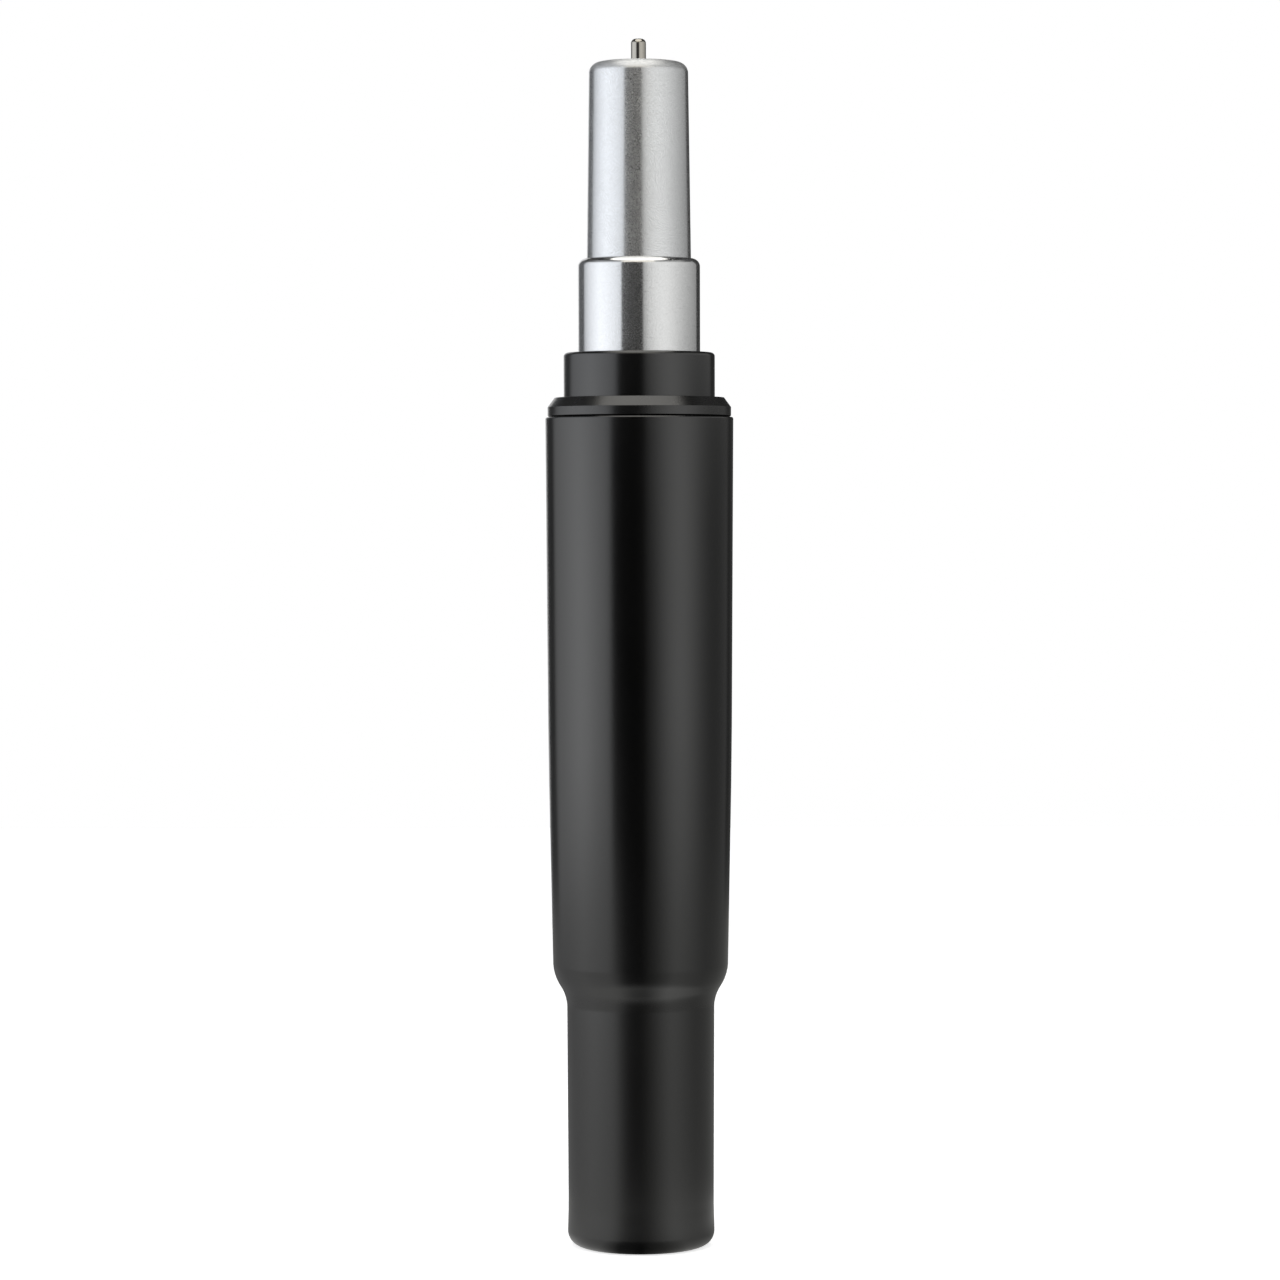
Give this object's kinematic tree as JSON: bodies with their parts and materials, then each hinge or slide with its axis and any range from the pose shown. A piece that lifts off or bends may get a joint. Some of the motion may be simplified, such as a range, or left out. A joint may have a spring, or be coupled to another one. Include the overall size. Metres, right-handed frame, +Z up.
{
  "type": "gas spring chair column",
  "caption": "Telescopic chair column with a locking gas spring: tapered stand tube, sliding middle tube, cone-headed cylinder and release pin, fully lowered.",
  "frame": {"origin": "centre of the foot of the stand tube, on the plane that it stands on", "axes": "+Z up along the column's axis, towards the release pin; X and Y are across it, and the piece is turned about Z"},
  "size_m": [0.05, 0.05, 0.3213],
  "materials": {
    "black_paint": "satin black powder paint",
    "black_moulding": "satin black moulded plastic",
    "polished_steel": "finely ground, bright",
    "satin_steel": "satin ground",
    "pin_steel": "polished",
    "bare_steel": "plain machined",
    "spring_steel": "oiled spring wire",
    "black_rubber": "matt",
    "white_moulding": "natural acetal",
    "bronze": "turned"
  },
  "bodies": {
    "stand": {"stand_tube": "black_paint", "stand_bush": "black_moulding", "foot_disc": "bare_steel", "lift_spring": "spring_steel"},
    "bearing": {"rollers": "bare_steel", "roller_cage": "white_moulding"},
    "rod": {"piston_rod": "polished_steel", "thrust_washer": "bare_steel", "bumper": "black_rubber", "retaining_clip": "spring_steel", "piston": "bronze", "piston_ring": "black_rubber", "piston_nut": "bare_steel"},
    "middle": {"middle_tube": "black_paint", "middle_bush": "black_moulding"},
    "cylinder": {"cylinder_tube": "polished_steel", "cone_head": "satin_steel", "inner_tube": "bare_steel", "valve_body": "bronze", "valve_seal": "black_rubber", "rod_guide": "white_moulding", "rod_seal": "black_rubber"},
    "release": {"release_pin": "pin_steel", "valve_stem": "bare_steel"}
  },
  "joints": [
    {"name": "seat_swivel", "type": "hinge", "parent": "stand", "child": "rod", "pos_m": [0, 0, 0], "axis": [0, 0, 1], "continuous": true},
    {"name": "bearing_turn", "type": "hinge", "parent": "stand", "child": "bearing", "pos_m": [0, 0, 0], "axis": [0, 0, 1], "continuous": true},
    {"name": "seat_height", "type": "slide", "parent": "rod", "child": "cylinder", "axis": [0, 0, 1], "range_m": [0, 0.14]},
    {"name": "middle_slide", "type": "slide", "parent": "stand", "child": "middle", "axis": [0, 0, 1], "range_m": [0, 0.07], "deforming": ["lift_spring"]},
    {"name": "release_press", "type": "slide", "parent": "cylinder", "child": "release", "axis": [0, 0, -1], "range_m": [0, 0.0025], "stiffness_N_per_m": 2000, "springref_m": -0.002}
  ],
  "couplings": [
    {"joint": "bearing_turn", "follows": "seat_swivel", "ratio": 0.5},
    {"joint": "middle_slide", "follows": "seat_height", "ratio": 0.5}
  ]
}
